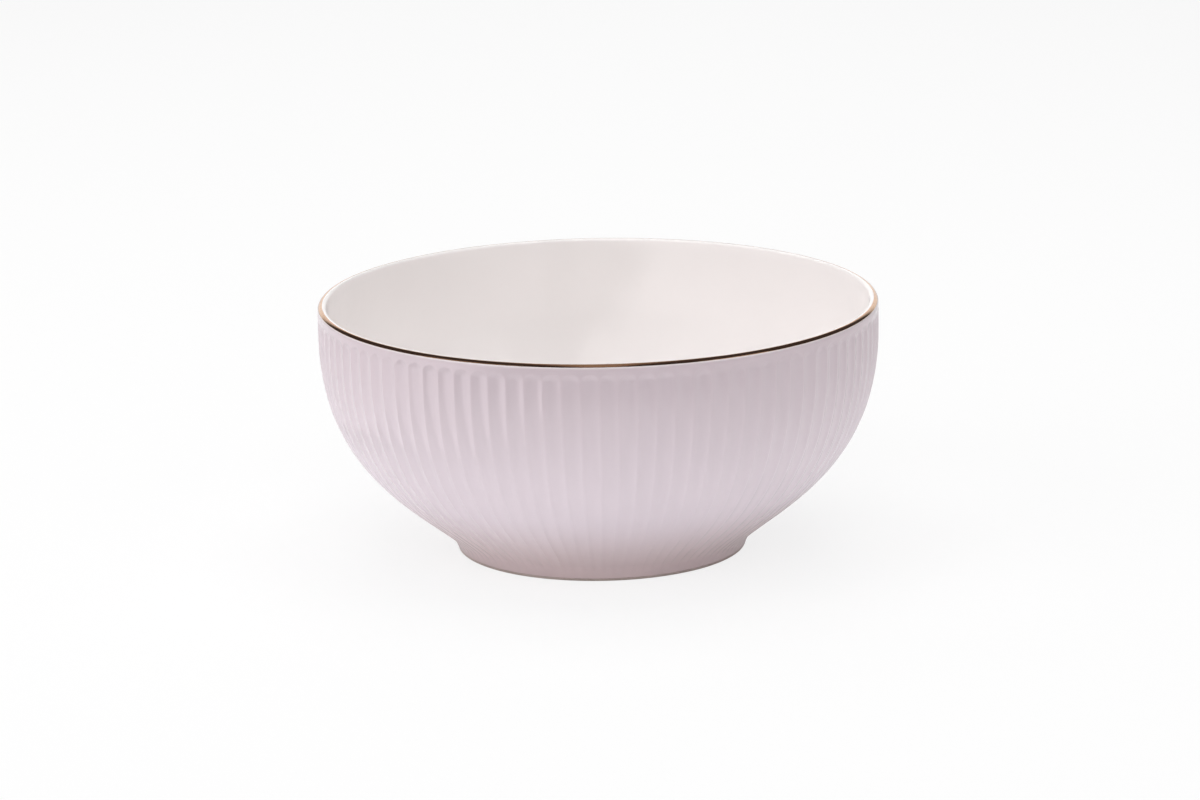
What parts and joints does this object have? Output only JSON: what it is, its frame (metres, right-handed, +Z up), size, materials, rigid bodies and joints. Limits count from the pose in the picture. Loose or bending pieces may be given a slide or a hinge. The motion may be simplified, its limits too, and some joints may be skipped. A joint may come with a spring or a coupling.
{
  "type": "serving bowl",
  "caption": "Round footed porcelain serving bowl with a finely fluted outside, a smooth glazed inside, a rounded lip and a gold line around it.",
  "frame": {"origin": "centre of the bowl, in the plane of the foot ring's standing edge", "axes": "+Z up along the bowl's axis; X and Y lie in the standing plane, with flute crests on them"},
  "size_m": [0.2304, 0.2304, 0.1042],
  "materials": {
    "porcelain": "unglazed fired porcelain, fine and matte",
    "glaze": "clear gloss glaze over white porcelain",
    "gold": "fired bright gold, polished"
  },
  "bodies": {
    "root": {"porcelain_body": "porcelain", "glaze_coat": "glaze", "base_glaze": "glaze", "gold_rim_line": "gold"}
  },
  "joints": []
}
